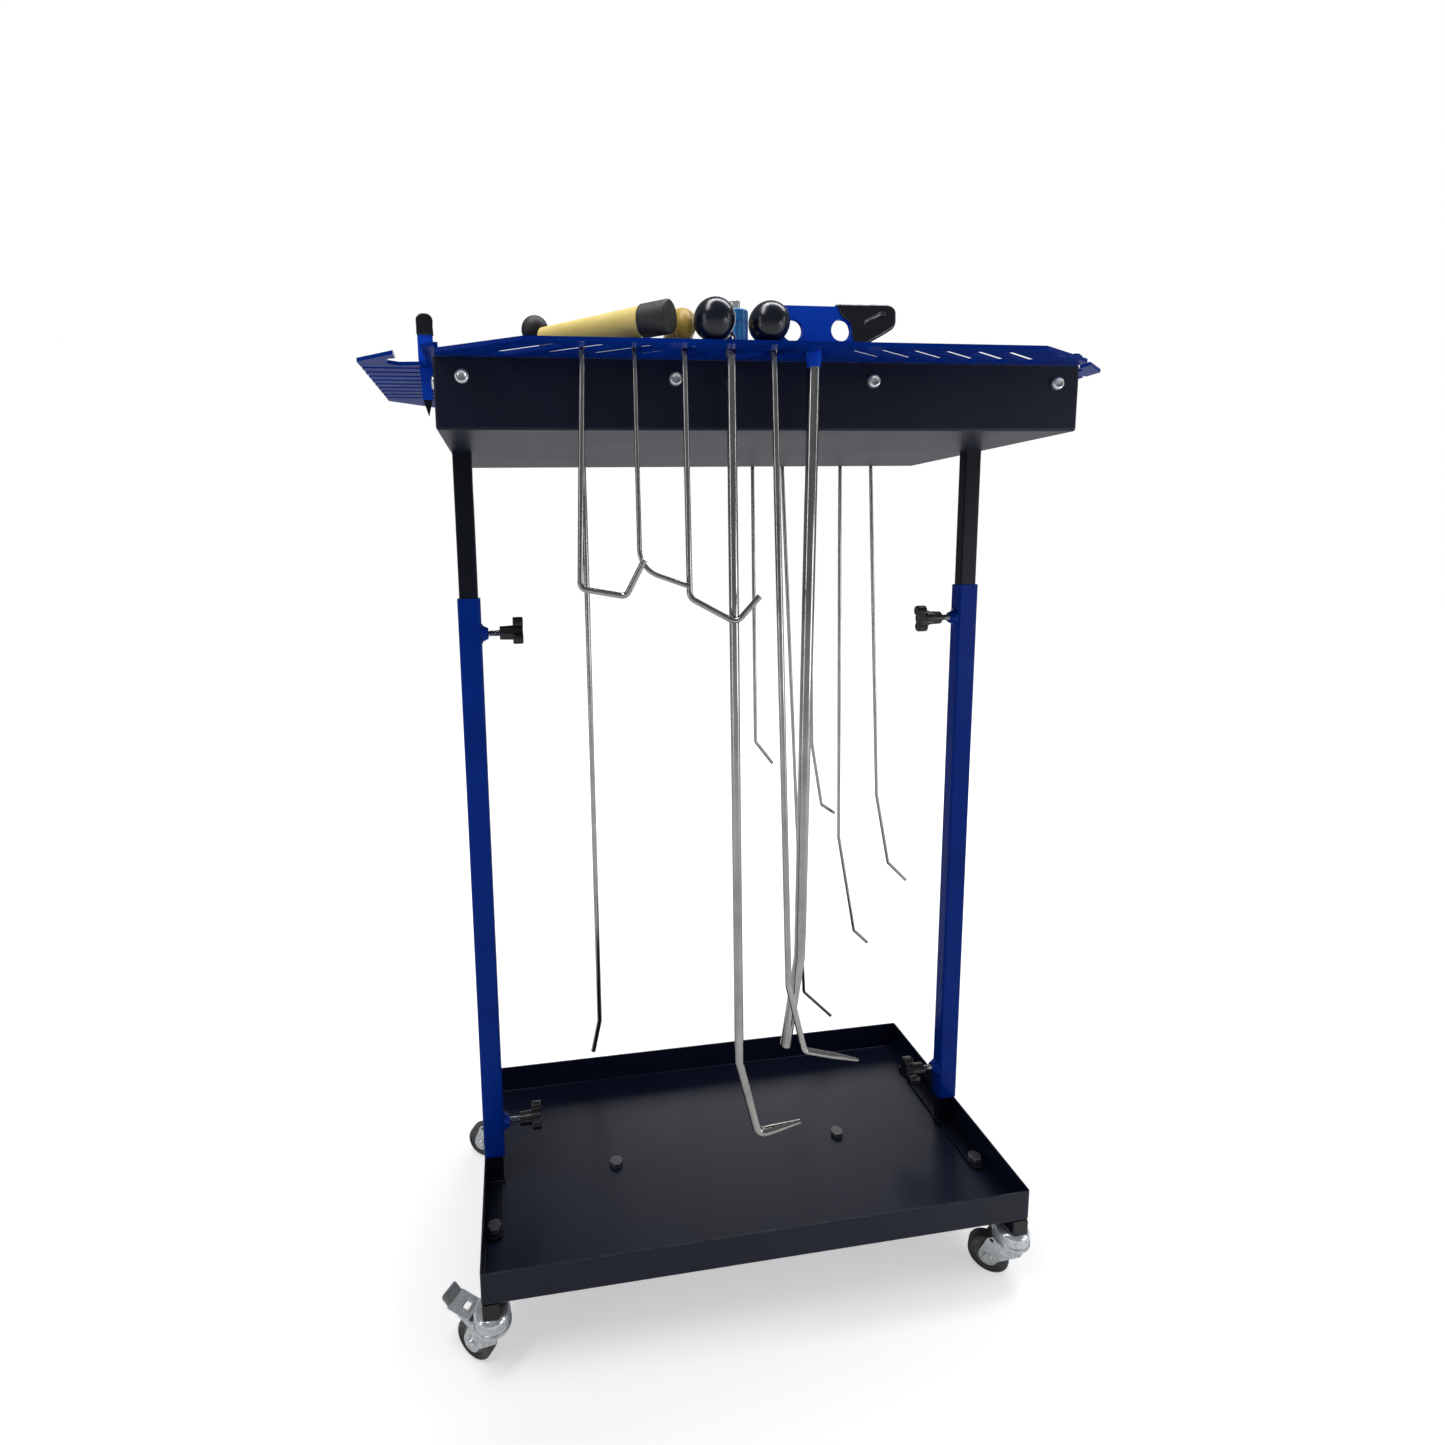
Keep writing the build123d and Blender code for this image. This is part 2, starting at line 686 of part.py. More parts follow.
def hook_dip():
    coat = Pos(-364.75, -80, RIM + 55.5) * Box(18.5, 8, 23)
    coat = fillet(coat.edges().filter_by(Axis.Y).group_by(Axis.Z)[-1], 8)
    coat = fillet(coat.edges().group_by(Axis.Z)[-1], 1.2)
    return coat - hook_tool()


PICK_X = -37.5
PICK_Y = -149.0
PICK_R = 14.5
PICK_TOP = RIM + 56.0


def pick_handle():
    base = UPPER_FLOOR + FIT
    height = PICK_TOP - base
    handle = disc(PICK_R, height, PICK_X, PICK_Y, base)
    handle = fillet(handle.edges().filter_by(GeomType.CIRCLE), 2.5)
    for flute in range(8):
        angle = math.radians(45 * flute)
        x = PICK_X + (PICK_R + 1.4) * math.cos(angle)
        y = PICK_Y + (PICK_R + 1.4) * math.sin(angle)
        handle -= disc(2.6, height - 24, x, y, base + 12)
    return handle


def pick_ferrule():
    ferrule = disc(6.0, 10, PICK_X, PICK_Y, PICK_TOP)
    ferrule = chamfer(ferrule.edges().sort_by(Axis.Z)[-1], 0.8)
    return ferrule


# ---------------------------------------------------------------- write every node

def main():
    save("lower_tray", lower_tray())
    save("upper_tray", upper_tray())
    save("side_rail_left", side_rail(-1))
    save("side_rail_right", side_rail(1))
    save("centre_rail", centre_rail())
    save("rail_plugs", rail_plugs())
    save("leg_base_left", leg_base(-1))
    save("leg_base_right", leg_base(1))
    save("floor_bolts", floor_bolts())
    save("caster_stems", caster_stems())
    for key in CASTER_SIDE:
        place = caster_place(key)
        save("caster_" + key + "_fork", [place * fork(), place * axle()])
        save("caster_" + key + "_hub", place * hub())
        save("caster_" + key + "_tyre", place * tyre())
    save("caster_fl_pedal", caster_place("fl") * brake_pedal())
    save("leg_sleeve_left", leg_sleeve(-1))
    save("leg_sleeve_right", leg_sleeve(1))
    save("inner_tube_left", inner_tube(-1))
    save("inner_tube_right", inner_tube(1))
    low, high = knob_heights()
    save("clamp_knob_left_low", clamp_knob(-1, low, 30))
    save("clamp_knob_left_high", clamp_knob(-1, high, 180))
    save("clamp_knob_right_low", clamp_knob(1, low, 50))
    save("clamp_knob_right_high", clamp_knob(1, high, 20))
    save("rack_front", long_rack())
    save("rack_back", turned_half(long_rack()))
    save("rack_left", side_rack())
    save("rack_right", mirror_x(side_rack()))
    save("rack_fasteners", rack_fasteners())
    save("rod_01_hook", rod_1())
    save("rod_02_long", rod_2())
    save("rod_03_hook", rod_3())
    save("rod_04_hook", rod_4())
    save("rod_05_bar", rod_5())
    save("rod_06_pick", rod_6())
    save("rod_07_bar", rod_7())
    save("rod_08_pick", rod_8())
    save("rod_09_tube", rod_9())
    save("rod_10_pick", rod_10())
    save("rod_11_pick", rod_11())
    save("rod_12_pick", rod_12())
    save("rod_05_ball", ball(-81, -228, 24.2, KNOB_BALL_R) - rod_5())
    save("rod_07_ball", ball(-24.5, -221.5, 24.2, KNOB_BALL_R) - rod_7())
    save("rod_09_handle", rod_9_handle())
    save("rod_09_dip", rod_9_dip())
    save("rod_03_grip", yellow_grip())
    save("rod_03_grip_ends", yellow_grip_ends())
    save("rod_04_grip", mustard_grip())
    save("hook_tool", hook_tool())
    save("hook_dip", hook_dip())
    save("pick_handle", pick_handle())
    save("pick_ferrule", pick_ferrule())


main()
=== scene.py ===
import json
import math

import bmesh
import bpy
from mathutils import Matrix, Vector, noise


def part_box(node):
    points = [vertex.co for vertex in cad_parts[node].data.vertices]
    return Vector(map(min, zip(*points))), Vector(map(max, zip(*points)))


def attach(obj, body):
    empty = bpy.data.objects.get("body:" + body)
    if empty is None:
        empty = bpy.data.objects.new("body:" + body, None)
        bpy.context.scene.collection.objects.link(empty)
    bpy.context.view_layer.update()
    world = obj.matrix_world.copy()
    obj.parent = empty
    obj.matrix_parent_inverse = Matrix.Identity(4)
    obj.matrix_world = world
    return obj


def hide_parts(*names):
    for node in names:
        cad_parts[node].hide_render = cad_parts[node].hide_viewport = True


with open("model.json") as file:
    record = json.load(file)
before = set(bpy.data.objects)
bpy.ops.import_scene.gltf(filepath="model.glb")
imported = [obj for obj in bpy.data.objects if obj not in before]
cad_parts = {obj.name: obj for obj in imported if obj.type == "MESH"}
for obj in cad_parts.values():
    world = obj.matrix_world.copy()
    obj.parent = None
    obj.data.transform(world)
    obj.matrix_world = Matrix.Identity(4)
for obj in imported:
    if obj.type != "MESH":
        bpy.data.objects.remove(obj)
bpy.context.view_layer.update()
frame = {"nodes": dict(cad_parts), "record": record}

nodes = frame["nodes"]
SLOT_OF = {entry["node"]: entry["material_slot"] for entry in frame["record"]["subparts"]}
MM = 0.001
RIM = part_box("upper_tray")[1][2]


# ---------------------------------------------------------------- node helpers

class Shader:
    """A principled material and short ways to wire procedural textures into it."""

    def __init__(self, name):
        self.material = bpy.data.materials.new(name)
        self.material.use_nodes = True
        self.tree = self.material.node_tree
        self.tree.nodes.clear()
        self.out = self.add("ShaderNodeOutputMaterial")
        self.bsdf = self.add("ShaderNodeBsdfPrincipled")
        self.link(self.bsdf.outputs[0], self.out.inputs[0])
        self.coord = self.add("ShaderNodeTexCoord").outputs["Object"]

    def add(self, kind, **values):
        node = self.tree.nodes.new(kind)
        for key, value in values.items():
            setattr(node, key, value)
        return node

    def link(self, start, end):
        self.tree.links.new(start, end)

    def fill(self, socket, value):
        if hasattr(value, "links"):
            self.link(value, socket)
        else:
            socket.default_value = value

    def set(self, **values):
        for key, value in values.items():
            self.fill(self.bsdf.inputs[key.replace("_", " ")], value)

    def scaled(self, x, y, z):
        mapping = self.add("ShaderNodeMapping")
        self.link(self.coord, mapping.inputs["Vector"])
        mapping.inputs["Scale"].default_value = (x, y, z)
        return mapping.outputs[0]

    def noise(self, scale, detail=3.0, rough=0.5, vector=None):
        node = self.add("ShaderNodeTexNoise")
        self.link(vector or self.coord, node.inputs["Vector"])
        node.inputs["Scale"].default_value = scale
        node.inputs["Detail"].default_value = detail
        node.inputs["Roughness"].default_value = rough
        return node.outputs["Fac"]

    def cells(self, scale, feature="F1"):
        node = self.add("ShaderNodeTexVoronoi", feature=feature)
        self.link(self.coord, node.inputs["Vector"])
        node.inputs["Scale"].default_value = scale
        return node.outputs["Distance"]

    def span(self, value, low, high, new_low=0.0, new_high=1.0):
        node = self.add("ShaderNodeMapRange")
        self.link(value, node.inputs["Value"])
        node.inputs["From Min"].default_value = low
        node.inputs["From Max"].default_value = high
        node.inputs["To Min"].default_value = new_low
        node.inputs["To Max"].default_value = new_high
        return node.outputs[0]

    def math(self, operation, a, b=0.0):
        node = self.add("ShaderNodeMath", operation=operation)
        self.fill(node.inputs[0], a)
        self.fill(node.inputs[1], b)
        return node.outputs[0]

    def mix(self, factor, a, b):
        node = self.add("ShaderNodeMix", data_type="RGBA")
        self.fill(node.inputs[0], factor)
        self.fill(node.inputs[6], a if hasattr(a, "links") else (*a, 1.0))
        self.fill(node.inputs[7], b if hasattr(b, "links") else (*b, 1.0))
        return node.outputs[2]

    def axis(self, letter):
        node = self.add("ShaderNodeSeparateXYZ")
        self.link(self.coord, node.inputs[0])
        return node.outputs[letter]

    def bump(self, height, distance, strength=1.0, normal=None):
        node = self.add("ShaderNodeBump")
        self.link(height, node.inputs["Height"])
        node.inputs["Distance"].default_value = distance
        node.inputs["Strength"].default_value = strength
        if normal is not None:
            self.link(normal, node.inputs["Normal"])
        return node.outputs[0]

    def wear_and_highlight_edges(self, radius):
        """1 along sharp edges within the radius, 0 on open faces, broken up by noise; used to paint
        edges lighter, as wear and as painted highlight.
        """
        bevel = self.add("ShaderNodeBevel", samples=6)
        bevel.inputs["Radius"].default_value = radius
        flat = self.add("ShaderNodeNewGeometry").outputs["Normal"]
        dot = self.add("ShaderNodeVectorMath", operation="DOT_PRODUCT")
        self.link(bevel.outputs[0], dot.inputs[0])
        self.link(flat, dot.inputs[1])
        edge = self.span(dot.outputs["Value"], 0.995, 0.93)
        patchy = self.span(self.noise(38.0, 5.0, 0.7), 0.40, 0.62)
        return self.math("MULTIPLY", edge, patchy)


MATERIALS = {}


def finish(shader, slot):
    MATERIALS[slot] = shader.material


# ---------------------------------------------------------------- paints

def powder_coat(slot, dark, light, rough, grain, specular=0.3, edge=0.0010, worn_and_lit_edge=(0.09, 0.10, 0.12)):
    """Powder coat: fine orange peel, slow tone drift, dust specks, rubbed patches, and edges painted
    lighter as both wear and painted highlight.
    """
    s = Shader(slot)
    drift = s.noise(7.0, 4.0)
    colour = s.mix(s.span(drift, 0.3, 0.7), dark, light)
    speck = s.span(s.cells(420.0), 0.035, 0.02)
    sparse = s.span(s.noise(60.0, 2.0), 0.58, 0.66)
    dust = s.math("MULTIPLY", speck, sparse)
    colour = s.mix(s.math("MULTIPLY", dust, 0.35), colour, (0.35, 0.35, 0.36))
    # Edges painted a lighter tone: partly rubbed wear, partly a painted highlight along the edges.
    colour = s.mix(s.math("MULTIPLY", s.wear_and_highlight_edges(edge), 0.8), colour, worn_and_lit_edge)
    rub = s.span(s.noise(9.0, 4.0, 0.55), 0.35, 0.75, rough - 0.015, rough + 0.035)
    normal = s.bump(s.noise(grain, 2.0), 0.00012, 0.5)
    s.set(Base_Color=colour, Roughness=rub, Normal=normal)
    s.set(Specular_IOR_Level=specular)
    finish(s, slot)


def black_sheet():
    powder_coat("black_sheet", (0.0038, 0.0060, 0.0185), (0.0054, 0.0082, 0.025), 0.35, 1400.0, 0.27)


def black_tube():
    powder_coat("black_tube", (0.0025, 0.0035, 0.009), (0.004, 0.0055, 0.013), 0.34, 1200.0, 0.22)


def dark_bolt():
    # Steel-grey edges on the bolt heads: partly bare-steel wear, partly a painted highlight.
    steel_grey = (0.50, 0.50, 0.51)
    powder_coat(
        "dark_bolt", (0.040, 0.040, 0.044), (0.075, 0.075, 0.08), 0.30, 900.0, 0.5, 0.0011, steel_grey
    )


def blue_paint(slot, dark, light, specular=0.16, black_below=None):
    """Glossy blue powder coat: rippled skin, sparse chips down to the primer, edges painted lighter
    blue as a painted highlight.
    """
    s = Shader(slot)
    colour = s.mix(s.span(s.noise(9.0, 4.0), 0.3, 0.7), dark, light)
    spots = s.span(s.cells(95.0), 0.075, 0.06)
    chips = s.math("MULTIPLY", spots, s.span(s.noise(17.0, 3.0), 0.62, 0.66))
    colour = s.mix(s.math("MULTIPLY", chips, 0.7), colour, (0.10, 0.11, 0.14))
    # Edges painted a lighter blue: a painted highlight along the edges.
    colour = s.mix(s.math("MULTIPLY", s.wear_and_highlight_edges(0.0004), 0.35), colour, (0.03, 0.07, 0.30))
    if black_below is not None:
        height = s.math("ADD", s.axis("Z"), s.math("MULTIPLY", s.noise(150.0, 2.0), 0.004))
        colour = s.mix(s.span(height, black_below, black_below - 0.001), colour, (0.006, 0.006, 0.009))
    rough = s.span(s.noise(30.0, 5.0, 0.6), 0.35, 0.75, 0.20, 0.34)
    ripple = s.bump(s.noise(260.0, 2.0), 0.00035, 0.45)
    fine = s.bump(s.noise(1100.0, 2.0), 0.00010, 0.4, ripple)
    s.set(Base_Color=colour, Roughness=rough, Normal=fine)
    s.set(Specular_IOR_Level=specular)
    finish(s, slot)


# ---------------------------------------------------------------- metals

def polished_steel():
    """Polished spring steel rod: drawn lines along the shank, faint blotches and hand marks."""
    s = Shader("polished_steel")
    lines = s.noise(1.0, 3.0, 0.5, s.scaled(1100.0, 1100.0, 1.5))
    blotch = s.noise(26.0, 5.0, 0.6)
    tone = s.mix(s.span(blotch, 0.3, 0.75), (0.50, 0.49, 0.475), (0.35, 0.34, 0.325))
    tone = s.mix(s.span(lines, 0.35, 0.75, 0.0, 0.45), tone, (0.16, 0.155, 0.145))
    rough = s.span(blotch, 0.3, 0.8, 0.10, 0.19)
    normal = s.bump(lines, 0.00002, 0.4)
    s.set(Base_Color=tone, Metallic=1.0, Roughness=rough, Normal=normal)
    finish(s, "polished_steel")


def zinc():
    """Bright zinc plate: cool, slightly mottled, with soft scratches."""
    s = Shader("zinc")
    mottle = s.noise(170.0, 5.0, 0.6)
    tone = s.mix(s.span(mottle, 0.35, 0.65), (0.90, 0.93, 0.96), (0.60, 0.61, 0.585))
    tint = s.span(s.noise(60.0, 3.0), 0.45, 0.65, 0.0, 0.5)
    tone = s.mix(tint, tone, (0.62, 0.70, 0.76))
    scratch = s.noise(1.0, 6.0, 0.7, s.scaled(90.0, 1500.0, 700.0))
    tone = s.mix(s.span(scratch, 0.62, 0.78, 0.0, 0.3), tone, (0.40, 0.40, 0.39))
    rough = s.span(mottle, 0.3, 0.8, 0.13, 0.24)
    normal = s.bump(scratch, 0.00006, 0.6)
    s.set(Base_Color=tone, Metallic=0.66, Roughness=rough, Normal=normal)
    finish(s, "zinc")


# ---------------------------------------------------------------- plastics and rubbers

KNOB_NECK_END = 0.2996
BASE_STRIP = 0.004
SLEEVE_WIDTH = 0.028
STUD_HEIGHTS = {"low": 0.045, "high": 0.725}


def knob_plastic():
    """Moulded black knob; past its neck the same piece is a plated, threaded stud."""
    s = Shader("knob_plastic")
    x = s.math("ABSOLUTE", s.axis("X"))
    stud = s.math("GREATER_THAN", x, KNOB_NECK_END)
    grain = s.noise(900.0, 3.0)
    colour = s.mix(s.span(s.noise(60.0, 4.0), 0.3, 0.7), (0.004, 0.004, 0.006), (0.010, 0.010, 0.013))
    colour = s.mix(stud, colour, (0.62, 0.62, 0.60))
    turns = s.add("ShaderNodeTexWave", wave_type="BANDS", bands_direction="X", wave_profile="TRI")
    s.link(s.coord, turns.inputs["Vector"])
    turns.inputs["Scale"].default_value = 250.0
    thread = s.math("MULTIPLY", turns.outputs["Fac"], stud)
    normal = s.bump(thread, 0.0006, 1.0, s.bump(grain, 0.00008, 0.4))
    rough = s.math("MULTIPLY_ADD", stud, -0.14)
    rough.node.inputs[2].default_value = 0.26
    s.set(Base_Color=colour, Metallic=stud, Roughness=rough, Normal=normal)
    finish(s, "knob_plastic")


def smooth_plastic(slot, dark, light, low, high, coat, grain=500.0, depth=0.00004):
    """Plastic or rubber: drifting tone, patchy gloss from low to high roughness, fine grain."""
    s = Shader(slot)
    colour = s.mix(s.span(s.noise(40.0, 4.0), 0.3, 0.7), dark, light)
    rough = s.span(s.noise(55.0, 6.0, 0.65), 0.35, 0.8, low, high)
    s.set(Base_Color=colour, Roughness=rough, Normal=s.bump(s.noise(grain, 3.0), depth, 0.5))
    s.set(Coat_Weight=coat, Coat_Roughness=0.06)
    finish(s, slot)


def ribbed_grip():
    """Yellow rubber grip with a fine moulded net of small squares, its grooves painted darker."""
    s = Shader("yellow_grip")
    net = s.cells(1050.0, feature="F2")
    stain = s.noise(45.0, 5.0, 0.6)
    colour = s.mix(s.span(stain, 0.35, 0.75), (0.86, 0.67, 0.20), (0.72, 0.545, 0.135))
    # Darker in the grooves of the net, where the bump is lowest.
    colour = s.mix(s.span(net, 0.25, 0.55, 0.35, 0.0), colour, (0.42, 0.30, 0.06))
    normal = s.bump(net, 0.00022, 0.6)
    s.set(Base_Color=colour, Roughness=s.span(stain, 0.3, 0.8, 0.50, 0.68), Normal=normal)
    finish(s, "yellow_grip")


# ---------------------------------------------------------------- assign

def build_materials():
    black_sheet()
    black_tube()
    dark_bolt()
    blue_paint("blue_paint", (0.0001, 0.019, 0.19), (0.0003, 0.029, 0.28), 0.07)
    blue_paint("bright_blue_paint", (0.0008, 0.052, 0.52), (0.0015, 0.078, 0.70), 0.2, RIM - 0.022)
    polished_steel()
    zinc()
    knob_plastic()
    ribbed_grip()
    smooth_plastic("ball_plastic", (0.0020, 0.003, 0.010), (0.0038, 0.0056, 0.017), 0.18, 0.32, 0.04)
    smooth_plastic("plug_plastic", (0.002, 0.002, 0.004), (0.004, 0.004, 0.006), 0.38, 0.52, 0.0)
    tyre_dark, tyre_light = (0.055, 0.056, 0.060), (0.095, 0.096, 0.100)
    smooth_plastic("grey_tyre", tyre_dark, tyre_light, 0.50, 0.68, 0.0, 700.0, 0.0001)
    smooth_plastic("grey_hub", (0.10, 0.10, 0.107), (0.15, 0.15, 0.157), 0.38, 0.52, 0.0)
    mustard_dark, mustard_light = (0.50, 0.325, 0.045), (0.62, 0.42, 0.08)
    smooth_plastic("mustard_grip", mustard_dark, mustard_light, 0.42, 0.6, 0.0, 600.0, 0.00015)
    rubber_dark, rubber_light = (0.013, 0.013, 0.015), (0.024, 0.024, 0.026)
    smooth_plastic("black_rubber", rubber_dark, rubber_light, 0.5, 0.68, 0.0, 800.0, 0.0001)
    vinyl_dark, vinyl_light = (0.002, 0.0026, 0.006), (0.004, 0.005, 0.011)
    smooth_plastic("black_vinyl", vinyl_dark, vinyl_light, 0.12, 0.22, 0.4, 60.0, 0.0006)
    smooth_plastic("cyan_plastic", (0.012, 0.20, 0.52), (0.020, 0.27, 0.64), 0.22, 0.36, 0.2)


# ---------------------------------------------------------------- pieces

def body_of(node):
    for body, members in frame["record"]["behaviour"]["bodies"].items():
        if node in members:
            return body
    raise KeyError(node)


def add_piece(name, mesh, body, slot):
    piece = bpy.data.objects.new(name, mesh)
    bpy.context.scene.collection.objects.link(piece)
    mesh.materials.clear()
    mesh.materials.append(MATERIALS[slot])
    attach(piece, body)
    return piece


def applied(mesh, *modifiers):
    """The mesh with the modifiers applied, worked out in a scene of its own to keep it quick."""
    bench = bpy.data.scenes.new("bench")
    item = bpy.data.objects.new("bench_item", mesh)
    bench.collection.objects.link(item)
    for kind, values in modifiers:
        modifier = item.modifiers.new(kind.lower(), kind)
        for key, value in values.items():
            setattr(modifier, key, value)
    layer = bench.view_layers[0]
    layer.update()
    depsgraph = layer.depsgraph
    result = bpy.data.meshes.new_from_object(item.evaluated_get(depsgraph))
    bpy.data.objects.remove(item)
    bpy.data.scenes.remove(bench)
    return result


def dipped_coat(node, voxel, rounds):
    """A hand-dipped vinyl coat: the CAD shape softened all over, with slow thick and thin spots."""
    mesh = applied(
        nodes[node].data.copy(),
        ("REMESH", {"mode": "VOXEL", "voxel_size": voxel}),
        ("SMOOTH", {"factor": 0.5, "iterations": rounds}),
    )
    low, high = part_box(node)
    normals = [vertex.normal.copy() for vertex in mesh.vertices]
    for vertex, normal in zip(mesh.vertices, normals):
        swell = noise.noise(vertex.co * 95.0) * 0.0006
        moved = vertex.co + normal * swell
        vertex.co = [min(max(moved[i], low[i]), high[i]) for i in range(3)]
    mesh.shade_smooth()
    piece = add_piece("dipped_" + node, mesh, body_of(node), SLOT_OF[node])
    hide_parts(node)


def join_rings(maker, first, second):
    sides = len(first)
    for k in range(sides):
        after = (k + 1) % sides
        maker.faces.new((first[k], second[k], second[after], first[after]))


def smooth_piece(maker, name, body, slot):
    bmesh.ops.recalc_face_normals(maker, faces=maker.faces)
    mesh = bpy.data.meshes.new(name)
    maker.to_mesh(mesh)
    maker.free()
    mesh.shade_smooth()
    add_piece(name, mesh, body, slot)


def ring_tube(maker, points, radius, sides, seed):
    """A closed bead along the points: a round tube whose thickness wobbles like a hand weld."""
    rings = []
    count = len(points)
    centre = sum((Vector(p) for p in points), Vector()) / count
    for index in range(count):
        here = Vector(points[index])
        ahead = Vector(points[(index + 1) % count]) - Vector(points[index - 1])
        outward = (here - centre).normalized()
        upward = ahead.normalized().cross(outward).normalized()
        outward = upward.cross(ahead.normalized()).normalized()
        ripple = 0.86 + 0.14 * math.cos(index * math.pi)
        size = radius * ripple * (1.0 + 0.18 * noise.noise(here * 160.0 + Vector((seed, 0, 0))))
        ring = []
        for k in range(sides):
            angle = math.tau * k / sides
            offset = outward * math.cos(angle) * size + upward * math.sin(angle) * size
            ring.append(maker.verts.new(here + offset))
        rings.append(ring)
    for index in range(count):
        join_rings(maker, rings[index], rings[(index + 1) % count])


def rounded_rectangle(x, y, z, half_x, half_y, corner, step):
    """Points round a rectangle with rounded corners, at one height."""
    points = []
    for turn in range(4):
        a, b = [(1, 1), (-1, 1), (-1, -1), (1, -1)][turn]
        for k in range(5):
            angle = math.pi / 2 * (turn + k / 4)
            px = x + a * (half_x - corner) + corner * math.cos(angle)
            py = y + b * (half_y - corner) + corner * math.sin(angle)
            points.append((px, py, z))
    dense = []
    for index, point in enumerate(points):
        after = Vector(points[(index + 1) % len(points)])
        before = Vector(point)
        pieces = max(1, round((after - before).length / step))
        dense.extend(before.lerp(after, k / pieces) for k in range(pieces))
    return dense


def oval_yz(x, y, z, half_y, half_z, count):
    turns = [math.tau * k / count for k in range(count)]
    return [(x, y + half_y * math.cos(t), z + half_z * math.sin(t)) for t in turns]


BEAD_SIDES = 8
POST_BEAD_R = 0.0016
BOSS_BEAD_R = 0.0012
BEAD_STEP = 0.0016
BEAD_OFF = 0.0004
POST_CORNER = 0.0025
BOSS_HALF_Y = 0.0088
BOSS_HALF_Z = 0.0117
BOSS_POINTS = 44


def weld_bead(name, points, radius, body, slot):
    maker = bmesh.new()
    ring_tube(maker, points, radius, BEAD_SIDES, len(name) * 1.7)
    smooth_piece(maker, name, body, slot)


def weld_beads():
    """Hand weld beads round the foot of each post and round each clamp-screw boss."""
    for side, sign in (("left", -1), ("right", 1)):
        low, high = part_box("leg_base_" + side)
        tube_low, tube_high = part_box("inner_tube_" + side)
        x = (low[0] + high[0]) / 2
        y = (low[1] + high[1]) / 2
        half_x = (tube_high[0] - tube_low[0]) / 2 + BEAD_OFF
        half_y = (tube_high[1] - tube_low[1]) / 2 + BEAD_OFF
        z = low[2] + BASE_STRIP + BEAD_OFF
        foot = rounded_rectangle(x, y, z, half_x, half_y, POST_CORNER, BEAD_STEP)
        weld_bead("post_weld_" + side, foot, POST_BEAD_R, "base", "black_tube")
        sleeve_low, sleeve_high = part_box("leg_sleeve_" + side)
        outer = max(abs(sleeve_low[0]), abs(sleeve_high[0]))
        inner = (outer - SLEEVE_WIDTH) * sign
        for level in ("low", "high"):
            z = STUD_HEIGHTS[level] + sleeve_low[2]
            face = inner - sign * BEAD_OFF
            ring = oval_yz(face, y, z, BOSS_HALF_Y, BOSS_HALF_Z, BOSS_POINTS)
            name = "boss_weld_" + side + "_" + level
            weld_bead(name, ring, BOSS_BEAD_R, "sleeves", "blue_paint")


NOSE_SIDES = 28
GRIP_NOSE = ((-104.8, -190, 31, 14.6), (-105.3, -196, 31, 13.0), (-105.9, -203, 30.8, 10.6),
             (-106.6, -209.5, 28.6, 9.0), (-107, -212.6, 24.5, 8.2), (-107, -212.4, 18, 7.6),
             (-106.9, -211.6, 12, 6.9), (-106.9, -211.5, 9.6, 6.0))


def grip_nose():
    """Soft rubber nose of the mustard grip, drawn over the bend of its rod.

    GRIP_NOSE holds x, y, height over the tray's rim and radius, in millimetres."""
    centres = [Vector((x, y, z)) * MM + Vector((0, 0, RIM)) for x, y, z, radius in GRIP_NOSE]
    maker = bmesh.new()
    rings = []
    for index, centre in enumerate(centres):
        ahead = centres[min(index + 1, len(centres) - 1)] - centres[max(index - 1, 0)]
        across = ahead.cross(Vector((1, 0, 0))).normalized()
        beside = across.cross(ahead).normalized()
        radius = GRIP_NOSE[index][3] * MM
        ring = []
        for k in range(NOSE_SIDES):
            angle = math.tau * k / NOSE_SIDES
            outward = across * math.cos(angle) + beside * math.sin(angle)
            ring.append(maker.verts.new(centre + outward * radius))
        rings.append(ring)
    for first, second in zip(rings, rings[1:]):
        join_rings(maker, first, second)
    maker.faces.new(rings[0])
    maker.faces.new(rings[-1])
    smooth_piece(maker, "rod_04_grip_nose", body_of("rod_04_grip"), "mustard_grip")


def dress_cad_nodes():
    for name, item in nodes.items():
        item.data.materials.clear()
        item.data.materials.append(MATERIALS[SLOT_OF[name]])


# ---------------------------------------------------------------- stage, light and camera

CAMERA_AT = Vector((-0.27996, -0.95172, 0.97299))
CAMERA_YAW = math.radians(8.062)
CAMERA_PITCH = math.radians(-7.721)
CAMERA_ROLL = math.radians(-1.154)
FOCAL = 745.03 / 1445
CENTRE = (620.64 / 1445, 649.65 / 1445)


def camera():
    forward = Vector((
        math.sin(CAMERA_YAW) * math.cos(CAMERA_PITCH),
        math.cos(CAMERA_YAW) * math.cos(CAMERA_PITCH),
        math.sin(CAMERA_PITCH),
    ))
    level = Vector((math.cos(CAMERA_YAW), -math.sin(CAMERA_YAW), 0.0))
    upright = level.cross(forward)
    right = math.cos(CAMERA_ROLL) * level + math.sin(CAMERA_ROLL) * upright
    up = right.cross(forward)
    data = bpy.data.cameras.new("camera")
    data.sensor_fit = "HORIZONTAL"
    data.sensor_width = 36.0
    data.lens = FOCAL * data.sensor_width
    data.shift_x = 0.5 - CENTRE[0]
    data.shift_y = CENTRE[1] - 0.5
    data.clip_start = 0.05
    item = bpy.data.objects.new("camera", data)
    turn = Matrix((right, up, -forward)).transposed()
    item.matrix_world = Matrix.Translation(CAMERA_AT) @ turn.to_4x4()
    bpy.context.scene.collection.objects.link(item)
    bpy.context.scene.camera = item


WORLD_LIGHT = 0.20
FAR_FLOOR_GLOW = 0.22


